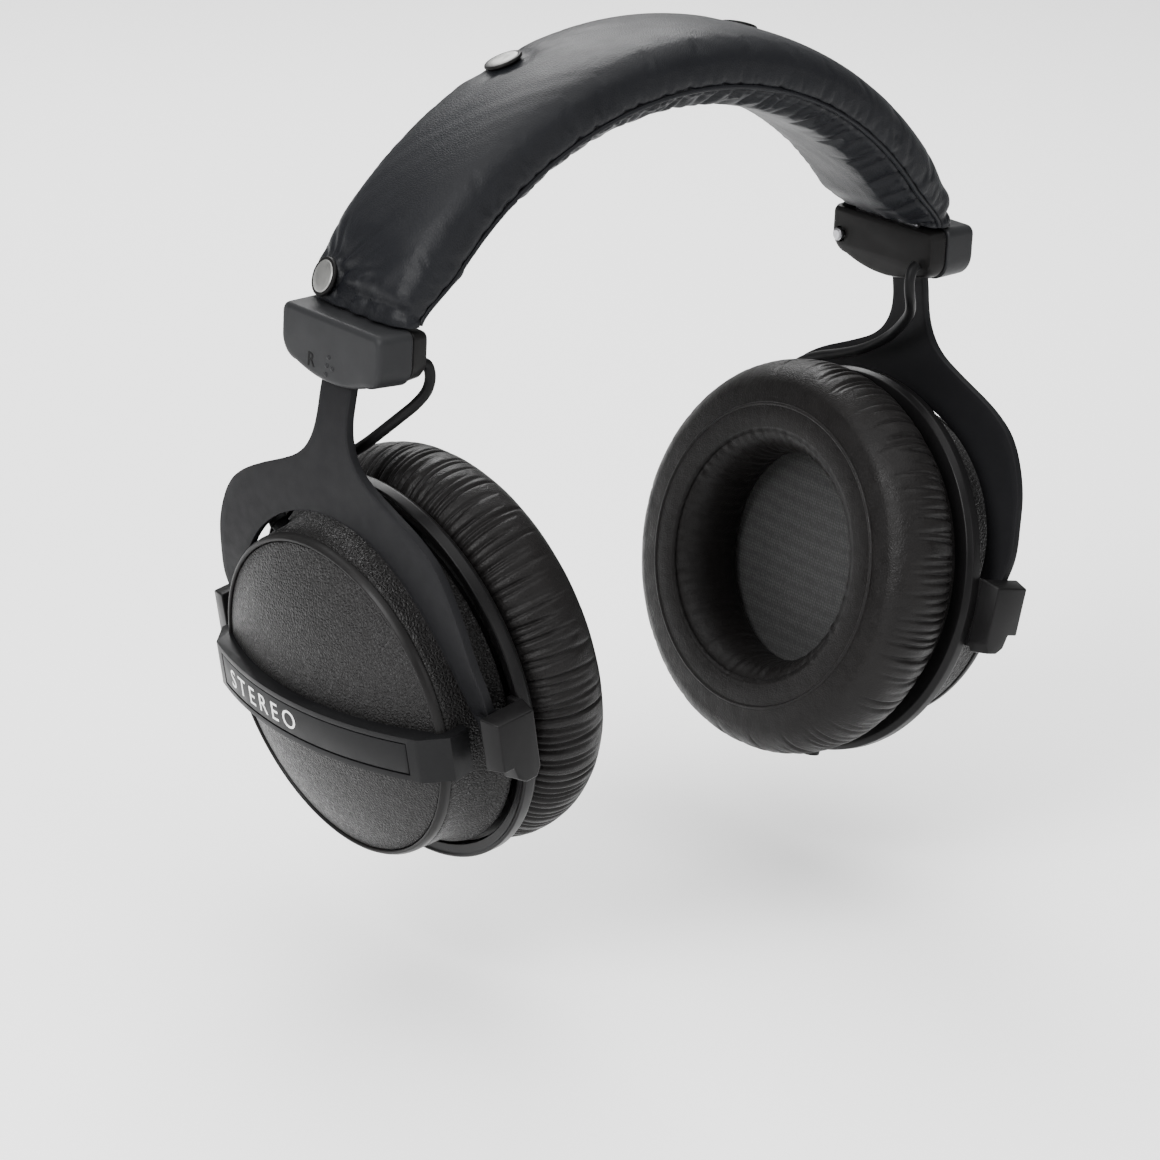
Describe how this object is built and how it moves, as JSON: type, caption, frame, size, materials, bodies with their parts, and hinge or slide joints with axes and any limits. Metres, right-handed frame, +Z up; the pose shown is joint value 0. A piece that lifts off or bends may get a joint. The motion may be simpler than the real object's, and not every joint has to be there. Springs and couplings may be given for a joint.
{
  "type": "over ear headphones",
  "caption": "Closed over ear headphones: padded sprung headband, sliding sheet-metal yokes and tilting round cups with soft ear pads.",
  "frame": {"origin": "lowest point of the crown pad's underside, where it rests on the head", "axes": "+Z up, +X to the wearer's left, -Y to the wearer's front"},
  "size_m": [0.201, 0.108, 0.1966],
  "materials": {
    "headband_leather": "smooth black nappa with a soft sheen, stitched edges",
    "pad_leather": "soft pleated black leather",
    "foam_grey": "open foam or acoustic cloth",
    "spring_steel": "cold rolled strip",
    "zinc_steel": "zinc plated",
    "snap_nickel": "satin nickel, brushed",
    "housing_plastic": "fine satin, dark grey",
    "yoke_paint": "matte black powder coat",
    "shell_plastic": "leather-grain moulding",
    "ring_plastic": "smooth satin",
    "badge_plastic": "smooth satin, printed",
    "felt_grey": "pressed felt",
    "diaphragm_film": "thin clear film",
    "lead_rubber": "matte jacket"
  },
  "bodies": {
    "headband": {"headband_cover": "headband_leather", "spring_band": "spring_steel", "headband_foam": "foam_grey", "headband_lead": "lead_rubber", "snap_upper_r": "snap_nickel", "snap_lower_r": "snap_nickel", "slider_cover_r": "housing_plastic", "slider_base_r": "housing_plastic", "detent_spring_r": "spring_steel", "slider_screw_r": "zinc_steel", "snap_upper_l": "snap_nickel", "snap_lower_l": "snap_nickel", "slider_cover_l": "housing_plastic", "slider_base_l": "housing_plastic", "detent_spring_l": "spring_steel", "slider_screw_l": "zinc_steel"},
    "yoke_assembly_r": {"yoke_r": "yoke_paint", "yoke_tip_front_r": "yoke_paint", "yoke_tip_rear_r": "yoke_paint", "pivot_pin_front_r": "zinc_steel", "pivot_pin_rear_r": "zinc_steel", "jumper_lead_r": "lead_rubber"},
    "cup_r": {"pivot_block_front_r": "ring_plastic", "pivot_block_rear_r": "ring_plastic", "cup_shell_r": "shell_plastic", "cup_cap_r": "shell_plastic", "badge_bar_r": "badge_plastic", "badge_plate_r": "badge_plastic", "pad_ring_r": "ring_plastic", "baffle_r": "ring_plastic", "driver_frame_r": "ring_plastic", "driver_magnet_r": "zinc_steel", "diaphragm_r": "diaphragm_film", "damping_felt_r": "felt_grey", "ear_cloth_r": "foam_grey", "ear_pad_r": "pad_leather", "lead_grommet_r": "lead_rubber"},
    "yoke_assembly_l": {"yoke_l": "yoke_paint", "yoke_tip_front_l": "yoke_paint", "yoke_tip_rear_l": "yoke_paint", "pivot_pin_front_l": "zinc_steel", "pivot_pin_rear_l": "zinc_steel", "jumper_lead_l": "lead_rubber"},
    "cup_l": {"pivot_block_front_l": "ring_plastic", "pivot_block_rear_l": "ring_plastic", "cup_shell_l": "shell_plastic", "cup_cap_l": "shell_plastic", "badge_bar_l": "badge_plastic", "badge_plate_l": "badge_plastic", "pad_ring_l": "ring_plastic", "baffle_l": "ring_plastic", "driver_frame_l": "ring_plastic", "driver_magnet_l": "zinc_steel", "diaphragm_l": "diaphragm_film", "damping_felt_l": "felt_grey", "ear_cloth_l": "foam_grey", "ear_pad_l": "pad_leather", "lead_grommet_l": "lead_rubber", "cable_gland": "lead_rubber"}
  },
  "joints": [
    {"name": "yoke_slide_r", "type": "hinge", "parent": "headband", "child": "yoke_assembly_r", "pos_m": [-0.0065, 0, -0.0708], "axis": [0, -1, 0], "range_deg": [-6, 13.5], "deforming": ["jumper_lead_r"]},
    {"name": "cup_tilt_r", "type": "hinge", "parent": "yoke_assembly_r", "child": "cup_r", "pos_m": [-0.076, 0, -0.128], "axis": [0, 1, 0], "range_deg": [-4, 18], "deforming": ["jumper_lead_r"]},
    {"name": "yoke_slide_l", "type": "hinge", "parent": "headband", "child": "yoke_assembly_l", "pos_m": [0.0065, 0, -0.0708], "axis": [0, 1, 0], "range_deg": [-6, 13.5], "deforming": ["jumper_lead_l"]},
    {"name": "cup_tilt_l", "type": "hinge", "parent": "yoke_assembly_l", "child": "cup_l", "pos_m": [0.076, 0, -0.128], "axis": [0, -1, 0], "range_deg": [-4, 18], "deforming": ["jumper_lead_l"]}
  ]
}
